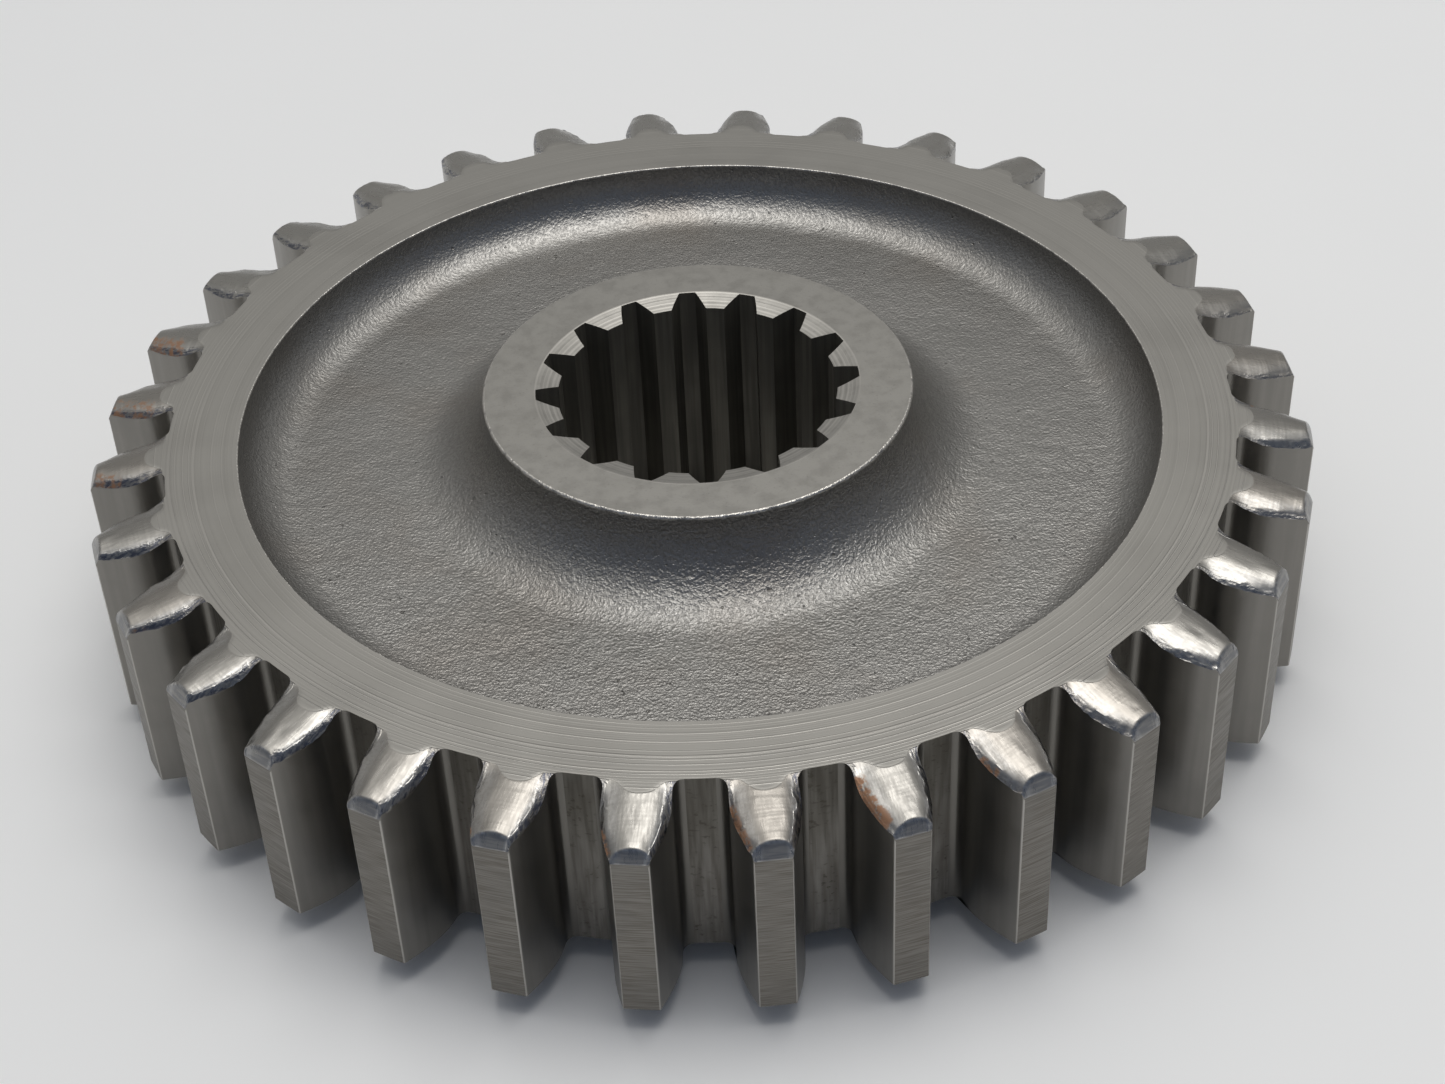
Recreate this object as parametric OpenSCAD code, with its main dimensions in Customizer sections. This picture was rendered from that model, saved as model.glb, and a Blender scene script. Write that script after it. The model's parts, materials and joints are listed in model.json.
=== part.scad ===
// Sliding gear: a one-piece spur gear on a splined hub, its upper tooth ends rounded for engaging.
// Lengths are in millimetres and angles in degrees. The gear lies on its lower hub face, axis along Z.

/* [Teeth] */
// Number of teeth round the rim
teeth = 32; // [27:1:40]
// Module, the pitch diameter over the number of teeth
tooth_module = 6.35; // [5.5:0.05:8]
// Pressure angle of the involute flanks
pressure_angle = 14.5; // [14.5:0.5:20]
// Height of a tooth above the pitch circle, in modules
addendum_factor = 1; // [0.75:0.01:1]
// Depth of a tooth space below the pitch circle, in modules
dedendum_factor = 1.157; // [0.95:0.001:1.25]
// Radius of the fillets at the foot of each tooth
root_fillet = 1.8; // [1:0.1:2.4]
// Width of the teeth along the axis
face_width = 36.5; // [30:0.5:50]

/* [Rounded tooth ends] */
// Length of the flat tongue that the rim face sends out along each tooth
tongue_length = 3.4; // [2:0.1:5]
// Fall of the crest from the rim face to the tooth tip
crest_drop = 1.8; // [0.6:0.1:2.5]
// Radius across the crest at the tooth tip
crest_radius = 3.6; // [3.2:0.1:5]
// Half angle of the cone that rounds the tooth end
crest_taper = 24; // [18:1:35]
// Gap between the root circle and the start of the rounding
end_setback = 0.7; // [0.3:0.1:1.5]
// Depth of the turned bevel on the tooth tips, measured inward along the rim face
tip_bevel = 2; // [1:0.1:3]
// Height of the turned bevel on the tooth tips
tip_bevel_h = 4.2; // [2:0.1:6]

/* [Rim and web] */
// Thickness of the rim between the tooth roots and the dish
rim_wall = 12.7; // [9:0.1:18]
// Depth of the dish below the rim face, the same on both sides
dish_depth = 9.5; // [6:0.5:13]
// Radius of the fillet between the rim and the web
rim_fillet = 9; // [4:0.5:9.5]
// Radius of the flare between the web and the hub
hub_flare = 13.5; // [6:0.5:13.5]

/* [Hub] */
// Outer diameter of the hub faces
hub_d = 76.2; // [70:0.1:90]
// Height of each hub face above the rim face beside it
hub_rise = 4.75; // [2:0.25:8]
// Broken edge round each hub face
hub_bevel = 0.4; // [0.2:0.1:1]

/* [Splined bore] */
// Number of spline grooves
splines = 16; // [10:1:18]
// Diameter at the groove floors
spline_major_d = 57.4; // [54:0.1:60]
// Diameter at the lands between the grooves
spline_minor_d = 49.6; // [46:0.1:51]
// Width of each groove floor
groove_floor = 3; // [2:0.1:4]
// Slope of the groove sides from the groove's centre line
groove_slope = 23.5; // [10:0.5:30]
// Angle from the first tooth to the first groove
spline_turn = -1.9; // [-11:0.1:11]
// Diameter of the turned lead-in at each bore mouth
mouth_d = 58; // [57:0.1:64]
// Depth of the turned lead-in
mouth_depth = 1; // [0.5:0.1:2]

/* [Hidden] */
$fn = 96;

// Spare length by which a cut runs past the faces it opens
overcut = 1;
// Straight facets along an involute flank and round a root fillet
flank_steps = 7;
fillet_steps = 4;

// Tooth circles
pitch_r = teeth * tooth_module / 2;
tip_r = pitch_r + addendum_factor * tooth_module;
root_r = pitch_r - dedendum_factor * tooth_module;
base_r = pitch_r * cos(pressure_angle);
tooth_pitch = 360 / teeth;

// Levels along the axis
rim_bottom = hub_rise;
rim_top = rim_bottom + face_width;
gear_height = rim_top + hub_rise;

// Radii and limited fillets of the dish
dish_r = root_r - rim_wall;
hub_r = hub_d / 2;
dish_fillet = min(rim_fillet, dish_depth);
flare_r = min(hub_flare, dish_depth + hub_rise - hub_bevel);

// Where the flank meets the fillet, and the angle that the fillet takes up on the root circle
flank_foot_r = sqrt(pow(root_r + root_fillet, 2) - pow(root_fillet, 2));
fillet_turn = asin(root_fillet / (root_r + root_fillet));

// Point at a radius and an angle
function polar(r, a) = [r * cos(a), r * sin(a)];

// Involute function, in degrees
function inv(a) = tan(a) * 180 / PI - a;

// Half angle of a tooth at a radius; below the base circle the flank runs straight to the axis
function half_tooth(r) = 90 / teeth + inv(pressure_angle) - inv(acos(min(1, base_r / r)));

// Half angle of a tooth space at a radius
function half_space(r) = tooth_pitch / 2 - half_tooth(r);

// One side of a tooth space, from beyond the tip in to the root
function flank_points() = let (
    roll_in = acos(min(1, base_r / flank_foot_r)),
    roll_out = acos(base_r / (tip_r + overcut)))
    [for (k = [flank_steps:-1:0])
        let (r = base_r / cos(roll_in + (roll_out - roll_in) * k / flank_steps))
        polar(r, half_space(r))];

function fillet_points() = let (
    foot = half_space(flank_foot_r),
    centre = polar(root_r + root_fillet, foot - fillet_turn))
    [for (k = [0:fillet_steps])
        centre + polar(root_fillet, foot + 90 + (90 - fillet_turn) * k / fillet_steps)];

function mirrored(points) = [for (k = [len(points) - 1:-1:0]) [points[k].x, -points[k].y]];

// Outline of one tooth space, centred on the X axis
module tooth_space() {
    side = concat(flank_points(), fillet_points());
    polygon(concat(side, mirrored(side)));
}

// Outline of the toothed rim, with the first tooth on the X axis
module toothed_outline() {
    difference() {
        circle(r = tip_r);
        for (k = [0:teeth - 1])
            rotate((k + 0.5) * tooth_pitch) tooth_space();
    }
}

// Cone whose upper edge is the crest of the first tooth's rounded end
module crest_cone() {
    tongue_r = root_r + tongue_length;
    fall = atan(crest_drop / (tip_r - tongue_r));
    reach = crest_radius / tan(crest_taper);
    cone_h = (tip_r + reach - root_r + tongue_length) / cos(crest_taper - fall);
    translate([tip_r + reach * cos(fall), 0, rim_top - crest_drop - reach * sin(fall)])
        rotate([0, fall - crest_taper - 90, 0])
            cylinder(h = cone_h, r1 = 0, r2 = cone_h * tan(crest_taper));
}

// Everything to take off the upper end of the first tooth
module end_cut() {
    cut_depth = crest_drop + crest_radius;
    cut_w = 2 * root_r * sin(tooth_pitch / 2) - root_fillet;
    start_r = root_r + end_setback;
    difference() {
        translate([start_r, -cut_w / 2, rim_top - cut_depth])
            cube([tip_r - start_r + overcut, cut_w, cut_depth + overcut]);
        crest_cone();
    }
}

// Section of the break along the edge of a hub face, its sharp corner at the origin
module hub_corner() {
    polygon([[0, -hub_bevel], [overcut, -hub_bevel], [overcut, overcut], [-hub_bevel - overcut, overcut]]);
}

// Ring outside the bevel that the blank has round its upper edge
module tip_bevel_ring() {
    past = overcut / tip_bevel;
    inner = [tip_r - tip_bevel * (1 + past), rim_top + tip_bevel_h * past];
    outer = [tip_r + tip_bevel * past, rim_top - tip_bevel_h * (1 + past)];
    rotate_extrude() polygon([inner, outer, [outer.x, inner.y]]);
}

// Half section of the dish between hub and rim, its floor on the X axis
module dish_section() {
    open_h = dish_depth + hub_rise + overcut;
    floor_in = hub_r + flare_r;
    floor_out = dish_r - dish_fillet;
    translate([floor_in, 0]) square([floor_out - floor_in, open_h]);
    translate([floor_in, flare_r]) circle(r = flare_r);
    translate([hub_r, flare_r]) square([flare_r, open_h - flare_r]);
    translate([floor_out, dish_fillet]) circle(r = dish_fillet);
    translate([floor_out, dish_fillet]) square([dish_fillet, open_h - dish_fillet]);
    translate([hub_r, dish_depth + hub_rise]) hub_corner();
}

// Turned dishes on both sides of the web
module dishes() {
    translate([0, 0, rim_top - dish_depth]) rotate_extrude() dish_section();
    translate([0, 0, rim_bottom + dish_depth]) mirror([0, 0, 1]) rotate_extrude() dish_section();
}

// Hub blank, wide enough for the flare to be cut from it
module hub_blank() {
    hub_blank_r = hub_r + hub_rise;
    cylinder(h = gear_height, r = hub_blank_r);
}

// Outline of one spline groove along the X axis
module groove() {
    major_r = spline_major_d / 2;
    inner_r = spline_minor_d / 2 - overcut;
    side_run = (major_r - inner_r) * tan(groove_slope);
    mouth = groove_floor / 2 + side_run;
    polygon([[inner_r, -mouth], [major_r, -groove_floor / 2], [major_r, groove_floor / 2], [inner_r, mouth]]);
}

// Splined bore with a turned lead-in at each mouth
module splined_bore() {
    translate([0, 0, -overcut]) linear_extrude(height = gear_height + 2 * overcut) {
        circle(d = spline_minor_d);
        for (k = [0:splines - 1])
            rotate(spline_turn + k * 360 / splines) groove();
    }
    cylinder(h = mouth_depth, d1 = mouth_d, d2 = spline_minor_d);
    translate([0, 0, gear_height - mouth_depth])
        cylinder(h = mouth_depth, d1 = spline_minor_d, d2 = mouth_d);
}

// The whole gear, cut from one blank
module sliding_gear() {
    color([0.44, 0.43, 0.41]) difference() {
        union() {
            translate([0, 0, rim_bottom]) linear_extrude(height = face_width) toothed_outline();
            hub_blank();
        }
        dishes();
        splined_bore();
        tip_bevel_ring();
        for (k = [0:teeth - 1])
            rotate(k * tooth_pitch) end_cut();
    }
}

sliding_gear();
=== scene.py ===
"""Sliding gear of forged and machined steel, worn at its tooth ends.

One closed mesh stands for the solid. It has the same sizes, and adds what the worn gear shows: uneven
tooth ends, broken edges, the grain of the forged web. Lengths are in millimetres up to make_object().
"""
import json
import math

import bmesh
import bpy
import numpy as np
from mathutils import Matrix, Vector


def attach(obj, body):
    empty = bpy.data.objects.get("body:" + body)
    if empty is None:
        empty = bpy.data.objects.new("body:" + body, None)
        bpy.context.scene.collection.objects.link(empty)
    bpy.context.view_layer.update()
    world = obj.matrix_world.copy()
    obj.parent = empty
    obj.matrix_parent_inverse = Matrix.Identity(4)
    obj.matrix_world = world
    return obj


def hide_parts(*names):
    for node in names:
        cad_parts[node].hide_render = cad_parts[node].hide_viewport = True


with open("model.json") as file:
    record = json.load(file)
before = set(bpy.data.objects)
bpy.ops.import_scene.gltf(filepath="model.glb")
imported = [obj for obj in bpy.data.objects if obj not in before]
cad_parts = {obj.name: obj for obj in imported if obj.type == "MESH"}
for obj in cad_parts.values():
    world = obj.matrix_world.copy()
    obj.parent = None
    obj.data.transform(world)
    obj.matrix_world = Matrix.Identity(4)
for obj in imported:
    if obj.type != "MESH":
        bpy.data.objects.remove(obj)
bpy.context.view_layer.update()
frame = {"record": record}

MM = 0.001
SEED = 41
TURN = 2 * math.pi
NEAR_ZERO = 0.01

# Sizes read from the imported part
mounts = {mount["name"]: mount for mount in frame["record"]["mounts"]}
TOP_Z = mounts["upper_hub_face"]["pos_m"][2] / MM
RIM_TOP = mounts["upper_rim_face"]["pos_m"][2] / MM
RIM_BOTTOM = mounts["lower_rim_face"]["pos_m"][2] / MM
PITCH_R = mounts["tooth_mesh"]["pos_m"][0] / MM
BORE_R = mounts["splined_bore"]["dims"]["r_mm"]

# Teeth, and the small break of their tip corners
TEETH = 32
PRESSURE_ANGLE = math.radians(14.5)
DEDENDUM_FACTOR = 1.157
ROOT_FILLET = 1.8
TIP_CORNER = 0.12
MODULE = 2 * PITCH_R / TEETH
TIP_R = PITCH_R + MODULE
ROOT_R = PITCH_R - DEDENDUM_FACTOR * MODULE
BASE_R = PITCH_R * math.cos(PRESSURE_ANGLE)
PITCH_TURN = TURN / TEETH

# Where the flank meets the root fillet, and the angle that the fillet takes up
FILLET_CENTRE_R = ROOT_R + ROOT_FILLET
FOOT_R = math.sqrt(FILLET_CENTRE_R ** 2 - ROOT_FILLET ** 2)
FILLET_TURN = math.asin(ROOT_FILLET / FILLET_CENTRE_R)

# Rounded upper tooth ends, from a step just outside the root circle to the bevel at the tip
STEP_R = ROOT_R + 0.3
TONGUE = 3.4
CREST_DROP = 1.8
CREST_RADIUS = 3.6
CREST_TAPER = math.radians(24)
CREST_SHIFT = 0.4
TIP_BEVEL = 2.0
TIP_BEVEL_H = 4.2

# How far each tooth's own end may depart from that form, and the widths of its ragged breaks
DROP_RANGE = (-0.3, 0.3)
RADIUS_RANGE = (-0.2, 0.7)
TONGUE_RANGE = (-0.5, 0.4)
SHIFT_RANGE = (-0.4, 0.4)
BREAK_WIDTH_RANGE = ((0.3, 0.4), (0.7, 0.8))
# How hard the ends at the rear were knocked, and where that rises to 1 on the way to the front
LEAST_BATTERED = 0.4
BATTERED_RISE = (-0.3, 0.5)

# Section across a worn tooth end, each for the knocked side and for the plain one: the flat share of the
# half width, the slope beside it, where the steep break starts and how far down the cone it goes
FLAT_SHARE = (0.35, 0.5)
WORN_SLOPE = (math.tan(math.radians(18)), math.tan(math.radians(24)))
BREAK_FROM = (0.86, 0.72)
BREAK_REACH = (0.6, 1.0)
# Where the band of painted highlight, which also stands for metal rubbed bright, starts on each side, how
# bright it is and how dark its break is
BAND_FROM = (0.4, 0.58)
BURNISH_AND_SHEEN = (0.42, 0.9)
BREAK_SHADE = (0.3, 1.0)
# Where that shade comes up in the steep break, and the smear with the depth below the rim face
SHADE_RISE = (0.15, 0.7)
SMEAR_RISE = (0.05, 0.6)
# Share of the breadth over which the band comes up, and lengths beyond the step
BAND_FADE = 0.25
BAND_RISE = (0.5, 2.0)
# Width of the painted highlight along the rolled lip at the tip bevel
LIP_WIDTH = 0.35
# Fall of a ragged break across its width, and of the facets at a tooth's root corners with the radius
BREAK_FALL = 0.5
ROOT_RAMP = 0.42
# Lengths over which the ragged breaks widen beyond the root circle and deepen beyond the step
BREAK_WIDENS = (1.0, 3.0)
BREAK_DEEPENS = (0, 3.0)
LEAST_BREAK = 0.2
# A wider chip in each break: its place before the tip, its length and its extra share of the width
CHIP_BEFORE_TIP = 1.4
CHIP_LENGTH = 0.9
CHIP_EXTRA = 0.6
# Widths over which the flat rolls into the slope, and the ends into those facets and into the tip bevel
SLOPE_ROLL = 1.0
RAMP_ROLL = 0.3
LIP_ROLL = 0.35
# How much of the plain cone comes back, and where before the tip that starts and is full
TIP_ROUNDING = 0.7
ROUNDED_FROM = 6
ROUNDED_TO = 1

# Rim, web and hub, with the broken edges of hub and dish
RIM_WALL = 12.7
DISH_DEPTH = 9.5
RIM_FILLET = 9.0
HUB_FLARE = 13.5
HUB_R = 38.1
HUB_BREAK = 0.4
DISH_BREAK = 0.2
DISH_R = ROOT_R - RIM_WALL

# Splined bore
SPLINES = 16
GROOVE_R = 28.7
GROOVE_FLOOR = 3.0
GROOVE_SLOPE = math.radians(23.5)
SPLINE_TURN = math.radians(-1.9)
MOUTH_R = 29.0
MOUTH_DEPTH = 1.0

# Noise layers, each with its height, the size of its features and its own seed
CREST_SMEAR = ((0.06, 1.3, 1), (0.03, 0.7, 2))
RAGGED_EDGE = ((0.55, 2.6, 3), (0.45, 0.9, 4))
WEB_WAVES = ((0.03, 2.3, 5), (0.04, 5.5, 6), (0.12, 16.0, 7))
BREAK_WANDER = ((0.07, 1.6, 8),)
# Squeeze of the noise along the flanks, stretch of the smear along the tooth, and how far apart in the
# noise two sides, the breaks and smears of two teeth, and two crests lie
EDGE_SQUEEZE = 1.4
SMEAR_STRETCH = 3
SIDES_APART = 9.0
BREAKS_APART = 17.0
SMEARS_APART = 31.0
CRESTS_APART = 40
# Share of the web's waves in the rows beside its machined edges
EDGE_WAVES = 0.3

# Rust on tooth ends: tooth, side, radius range, reach in from the flank and strength
RUST_PATCHES = (
    (22, -1, 105.5, 107.5, 0.5, 0.7),
    (23, -1, 102.5, 107.0, 0.9, 0.9),
    (24, -1, 98.5, 106.5, 1.2, 1.0),
    (25, -1, 97.0, 106.0, 2.2, 1.3),
    (26, -1, 99.5, 103.0, 1.0, 1.0),
    (31, 1, 97.5, 101.0, 1.1, 0.9),
    (18, 1, 104.5, 107.0, 0.8, 0.4),
    (16, 1, 102.0, 107.0, 3.4, 0.52),
    (15, 1, 98.5, 107.0, 5.0, 0.52),
    (14, 1, 99.0, 107.0, 5.4, 0.52),
)
RUST_FADE = 0.6

# Rows and columns of the mesh over the teeth, the columns closer together near the flanks
RIM_ROWS_INSIDE_ROOT = (1.1, 0.5, 0.0)
STEP_ROWS = (-0.03, 0.03)
FILLET_STEPS = 5
FLANK_ROWS = 24
BEVEL_ROWS = 9
HALF_STEPS = 11
FLANKWARD = 1.35
HALF_COLUMNS = 1 - (1 - np.linspace(0, 1, HALF_STEPS + 1)) ** FLANKWARD
COLUMNS = np.concatenate([-HALF_COLUMNS[:0:-1], HALF_COLUMNS])
GAP_STEPS = 6
SIDE_LEVELS = (0.985, 0.93, 0.75, 0.5, 0.25, 0.03, 0.0)

# Steps of the mesh over rim face, web, hub and bore
UPPER_TURNS = 480
LOWER_TURNS = 240
WALL_STEPS = 13
FLOOR_STEPS = 21
FLARE_STEPS = 20
LOWER_DETAIL = 0.5
EDGE_STEPS = 3
FACE_RINGS = (85.0, 88.5, 91.5)
EDGE_INSET = 0.05
GROOVE_SIDE_STEPS = 5
GROOVE_FLOOR_STEPS = 3
LAND_STEPS = 4
BORE_ROWS = 9
MOUTH_TURNS = 12 * SPLINES
SHARP_ANGLE = math.radians(32)

# Zones of the surface, each with its own finish
TURNED, WEB, HUB, TIP, FLANK, ROOT, BORE = range(7)

# Values painted on the points: the depth of a tooth end below the rim face, of the tip bevel below that
# end and the place across the tooth, in millimetres, then ragged breaks with their painted shade, edges
# worn bright with painted highlights, rust and each tooth's own tint, from 0 to 1
PAINTED = ("end_depth", "bevel_depth", "across", "ragged", "wear", "rust", "tint")
NOT_AN_END = -1.0
TOOTH_TINT = np.random.default_rng(SEED).uniform(0, 1, TEETH)

# Whole numbers that scramble the place of a cell into the value of the seeded noise there
SEED_STEP = 7919
SEED_START = 17
SCRAMBLE = (73856093, 19349663)
SCRAMBLE_LIMIT = 2147483647
LOW_BITS = 0xFFFF


def lattice_value(cells, seed):
    """A fixed value from 0 to 1 for each whole-numbered cell."""
    mixed = np.full(cells.shape[:-1], seed * SEED_STEP + SEED_START, np.int64)
    for axis in range(cells.shape[-1]):
        mixed = (mixed ^ (cells[..., axis] & LOW_BITS)) * SCRAMBLE[0] % SCRAMBLE_LIMIT
        mixed = (mixed ^ (mixed >> 11)) * SCRAMBLE[1] % SCRAMBLE_LIMIT
    return (mixed >> 7 & LOW_BITS) / LOW_BITS


def lattice_noise(points, cell, seed):
    """Smooth seeded noise from -1 to 1 at each point, with features about one cell across."""
    scaled = np.asarray(points, float) / cell
    base = np.floor(scaled).astype(np.int64)
    part = scaled - base
    part = part * part * (3 - 2 * part)
    total = np.zeros(scaled.shape[:-1])
    for corner in np.ndindex(*(2,) * scaled.shape[-1]):
        share = np.prod(np.where(np.array(corner), part, 1 - part), axis=-1)
        total += share * lattice_value(base + np.array(corner), seed)
    return 2 * total - 1


def layered_noise(points, layers):
    """The sum of several noise layers at each point."""
    return sum(height * lattice_noise(points, cell, SEED + own) for height, cell, own in layers)


def smooth(low, high, value):
    """0 below low, 1 above high, and a smooth step between."""
    t = np.clip((value - low) / (high - low), 0, 1)
    return t * t * (3 - 2 * t)


def roll(a, b, width):
    """The lower of two heights, with the edge between them rounded over a width."""
    return (a + b - np.sqrt((a - b) ** 2 + width ** 2)) / 2


def polar(r, angle, z):
    """Points from cylindrical coordinates, broadcast together."""
    r, angle, z = np.broadcast_arrays(r, angle, z)
    return np.stack([r * np.cos(angle), r * np.sin(angle), z], axis=-1)


def round_turns(count):
    """Angles of evenly spaced points once round the axis."""
    return np.arange(count) * TURN / count


class Shell:
    """Gathers points, their painted values and faces into one closed mesh."""

    def __init__(self):
        self.points = np.zeros((0, 3))
        self.painted = np.zeros((0, len(PAINTED)))
        self.faces = []
        self.zones = []
        self.creases = []

    def add(self, xyz, **painted):
        """Adds points, shaped (..., 3), and returns their numbers in the same shape."""
        shape = np.shape(xyz)[:-1]
        flat = np.reshape(xyz, (-1, 3))
        values = np.zeros((len(flat), len(PAINTED)))
        for name, value in painted.items():
            values[:, PAINTED.index(name)] = np.broadcast_to(value, shape).ravel()
        numbers = len(self.points) + np.arange(len(flat))
        self.points = np.concatenate([self.points, flat])
        self.painted = np.concatenate([self.painted, values])
        return numbers.reshape(shape)

    def quads(self, grid, zone, closed=False):
        """Four-sided faces over a grid of point numbers; zone is one number, or one for each column."""
        if closed:
            grid = np.concatenate([grid, grid[:, :1]], axis=1)
        corners = np.stack([grid[:-1, :-1], grid[:-1, 1:], grid[1:, 1:], grid[1:, :-1]], axis=-1)
        self.faces += corners.reshape(-1, 4).tolist()
        self.zones += np.broadcast_to(zone, corners.shape[:2]).ravel().tolist()

    def seam(self, first, second, zone):
        """Triangles between two rings of points round the axis, which may have different counts."""
        a, a_turn = self.by_angle(first)
        b, b_turn = self.by_angle(second)
        i = 0
        j = 0
        while i < len(a) - 1 or j < len(b) - 1:
            a_next = a_turn[i + 1] if i < len(a) - 1 else math.inf
            b_next = b_turn[j + 1] if j < len(b) - 1 else math.inf
            if a_next <= b_next:
                self.faces.append([a[i], a[i + 1], b[j]])
                i += 1
            else:
                self.faces.append([a[i], b[j + 1], b[j]])
                j += 1
            self.zones.append(zone)

    def by_angle(self, ring):
        """A ring of point numbers from its smallest angle once round, and the angles."""
        turns = np.arctan2(self.points[ring, 1], self.points[ring, 0]) % TURN
        start = int(np.argmin(turns))
        ring = np.roll(ring, -start)
        turns = np.roll(turns, -start)
        return np.append(ring, ring[0]).tolist(), np.append(turns, turns[0] + TURN)


def involute(angle):
    """The angle by which an involute has turned at a pressure angle."""
    return np.tan(angle) - angle


def tooth_half_angle(r):
    """Half the angle of a tooth at each radius, with its root fillets and broken tip corners."""
    r = np.asarray(r, float)
    pressure = np.arccos(np.minimum(1, BASE_R / np.maximum(r, FOOT_R)))
    flank = math.pi / (2 * TEETH) + involute(PRESSURE_ANGLE) - involute(pressure)
    at_fillet = np.clip(r, ROOT_R, FOOT_R)
    squares = FILLET_CENTRE_R ** 2 + at_fillet ** 2 - ROOT_FILLET ** 2
    cosine = squares / (2 * FILLET_CENTRE_R * at_fillet)
    fillet = FILLET_TURN - np.arccos(np.minimum(1, cosine))
    corner = np.maximum(0, r - TIP_R + TIP_CORNER) / TIP_R
    return flank + fillet - corner


def tooth_rows():
    """Radii of the rows of points, from inside the root circle to the tip, and the root row's place."""
    rim = [ROOT_R - inside for inside in RIM_ROWS_INSIDE_ROOT]
    lift = np.linspace(0, math.pi / 2, FILLET_STEPS + 1)[1:]
    fillet = np.minimum(FILLET_CENTRE_R - ROOT_FILLET * np.cos(lift), FOOT_R)
    step = [STEP_R + beside for beside in STEP_ROWS]
    flank = np.linspace(FOOT_R, TIP_R - TIP_BEVEL, FLANK_ROWS)
    bevel = np.linspace(TIP_R - TIP_BEVEL, TIP_R - TIP_CORNER, BEVEL_ROWS)
    rows = np.unique(np.round(np.concatenate([rim, fillet, step, flank, bevel, [TIP_R]]), 4))
    return rows, int(np.argmin(np.abs(rows - ROOT_R)))


def by_side(place, pair):
    """The value of a pair that belongs to each point's side of the middle."""
    return np.where(place < 0, *pair)


def edge_spots(r, place, own):
    """Spots for noise that runs along the flanks, apart for each side and each tooth."""
    return np.stack([r * EDGE_SQUEEZE, np.sign(place) * SIDES_APART, np.full_like(r, own)], axis=-1)


def battering(k):
    """How hard tooth k's end was knocked, which is most at the front."""
    frontward = -math.sin(k * PITCH_TURN)
    return LEAST_BATTERED + (1 - LEAST_BATTERED) * smooth(*BATTERED_RISE, frontward)


def own_form(k):
    """Tooth k's crest, as drop, radius and tongue radius, then its shift and the breaks' widths."""
    rng = np.random.default_rng(SEED + k)
    drop = CREST_DROP + rng.uniform(*DROP_RANGE)
    radius = CREST_RADIUS + rng.uniform(*RADIUS_RANGE)
    tongue_r = ROOT_R + TONGUE + rng.uniform(*TONGUE_RANGE)
    shift = CREST_SHIFT + rng.uniform(*SHIFT_RANGE)
    breaks = rng.uniform(*BREAK_WIDTH_RANGE) * battering(k)
    return (drop, radius, tongue_r), shift, breaks


def crest_height(x, y, drop, radius, tongue_r):
    """Height above the rim face of a tooth end's cone, at x along the tooth and y across it."""
    fall = math.atan(drop / (TIP_R - tongue_r))
    reach = radius / math.tan(CREST_TAPER)
    apex_x = TIP_R + reach * math.cos(fall)
    apex_z = -drop - reach * math.sin(fall)
    lean = CREST_TAPER - fall
    along = (apex_x - x) * math.cos(lean)
    spread = math.cos(CREST_TAPER) ** 2
    square = math.sin(lean) ** 2 - spread
    cross = along * math.sin(lean)
    rest = along ** 2 - spread * ((apex_x - x) ** 2 + y ** 2)
    return apex_z + (cross - np.sqrt(np.maximum(0, cross ** 2 - square * rest))) / square


def end_section(x, r, off_crest, share, crest_form):
    """Height of a worn tooth end above the rim face, and how far each point lies in its steep break."""
    cone = crest_height(x, off_crest, *crest_form)
    ridge = crest_height(x, np.zeros_like(x), *crest_form)
    flat = by_side(off_crest, FLAT_SHARE) / np.maximum(share, NEAR_ZERO)
    beyond_flat = np.abs(off_crest) * (1 - flat)
    gentle = ridge + by_side(off_crest, WORN_SLOPE) * roll(-beyond_flat, 0, SLOPE_ROLL)
    wander = layered_noise(edge_spots(r, off_crest, crest_form[0] * CRESTS_APART), BREAK_WANDER)
    broken = smooth(by_side(off_crest, BREAK_FROM), 1.0, share + wander)
    height = gentle + (cone - gentle) * broken * by_side(off_crest, BREAK_REACH)
    round_tip = TIP_ROUNDING * smooth(TIP_R - ROUNDED_FROM, TIP_R - ROUNDED_TO, r)
    return height + (cone - height) * round_tip, broken


def end_breaks(k, r, y, from_flank, breaks):
    """Depth of the ragged break along each flank at each point, and its share of the break's width."""
    uneven = 1 + layered_noise(edge_spots(r, y, BREAKS_APART * k), RAGGED_EDGE)
    chip = CHIP_EXTRA * np.exp(-((r - TIP_R + CHIP_BEFORE_TIP) / CHIP_LENGTH) ** 2)
    near_root = 1 - smooth(ROOT_R + BREAK_WIDENS[0], ROOT_R + BREAK_WIDENS[1], r)
    width = by_side(y, breaks) * np.maximum(LEAST_BREAK, uneven + chip - near_root)
    depth = np.maximum(0, width - from_flank)
    return BREAK_FALL * depth, depth / width


def end_smear(k, x, y):
    """Low uneven marks where the metal of tooth k's end was smeared along the tooth."""
    spots = np.stack([x / SMEAR_STRETCH, y, np.full_like(x, SMEARS_APART * k)], axis=-1)
    return layered_noise(spots, CREST_SMEAR)


def end_rust(k, r, y, from_flank):
    """Where rust lies on tooth k's upper end."""
    rust = np.zeros_like(r)
    for tooth, side, r_from, r_to, reach, strength in RUST_PATCHES:
        if tooth == k:
            starts = smooth(r_from - RUST_FADE, r_from + RUST_FADE, r)
            ends = 1 - smooth(r_to - RUST_FADE, r_to + RUST_FADE, r)
            edge = 1 - smooth(0.3 * reach, reach, from_flank)
            rust = np.maximum(rust, strength * starts * ends * edge * (side * y > 0))
    return rust


def end_band_sheen(k, r, off_crest, share, ragged, rust):
    """How bright each flank's band of painted highlight on tooth k's end is, partly metal rubbed bright.
    """
    band_from = by_side(off_crest, BAND_FROM)
    # Painted highlight, stronger on one side of the tooth and on the teeth towards the front
    sheen = by_side(off_crest, BURNISH_AND_SHEEN) * battering(k)
    band = sheen * smooth(band_from, band_from + BAND_FADE, share)
    return band * (1 - ragged) * smooth(*BAND_RISE, r - STEP_R) * (1 - np.minimum(1, rust))


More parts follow.
